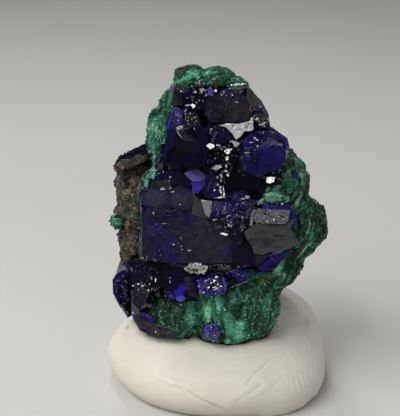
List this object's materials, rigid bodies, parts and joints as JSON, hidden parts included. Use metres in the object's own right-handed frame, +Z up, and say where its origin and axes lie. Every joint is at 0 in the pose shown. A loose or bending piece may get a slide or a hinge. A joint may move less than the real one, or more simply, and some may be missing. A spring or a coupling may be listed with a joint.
{
  "type": "azurite and malachite specimen",
  "caption": "Thumbnail mineral specimen: dark blue azurite crystals and green malachite crusts on brown iron-oxide matrix, held upright by a pressed ball of white mounting putty.",
  "frame": {"origin": "on the surface the putty stands on, under the middle of the putty ball, which is also the middle of the whole object's footprint", "axes": "+Z up; -Y towards the show side with the azurite crystals; +X to the viewer's right when the show side is looked at"},
  "size_m": [0.0186, 0.0176, 0.0264],
  "materials": {
    "azurite": "glassy crystal faces, near black to royal blue and violet",
    "malachite": "velvety to fibrous crust, dark green with mint patches",
    "matrix": "porous brown iron oxide with ochre and green specks",
    "putty": "smooth matte mounting putty with press marks and creases"
  },
  "bodies": {
    "root": {"azurite_crystals": "azurite", "azurite_back_crystals": "azurite", "azurite_rind": "azurite", "azurite_ball": "azurite", "azurite_rosette": "azurite", "iron_matrix": "matrix", "malachite_crown": "malachite", "malachite_left_band": "malachite", "malachite_shoulder": "malachite", "malachite_foot": "malachite", "malachite_seam": "malachite", "malachite_tuft": "malachite", "malachite_back": "malachite", "putty_mount": "putty"}
  },
  "joints": []
}
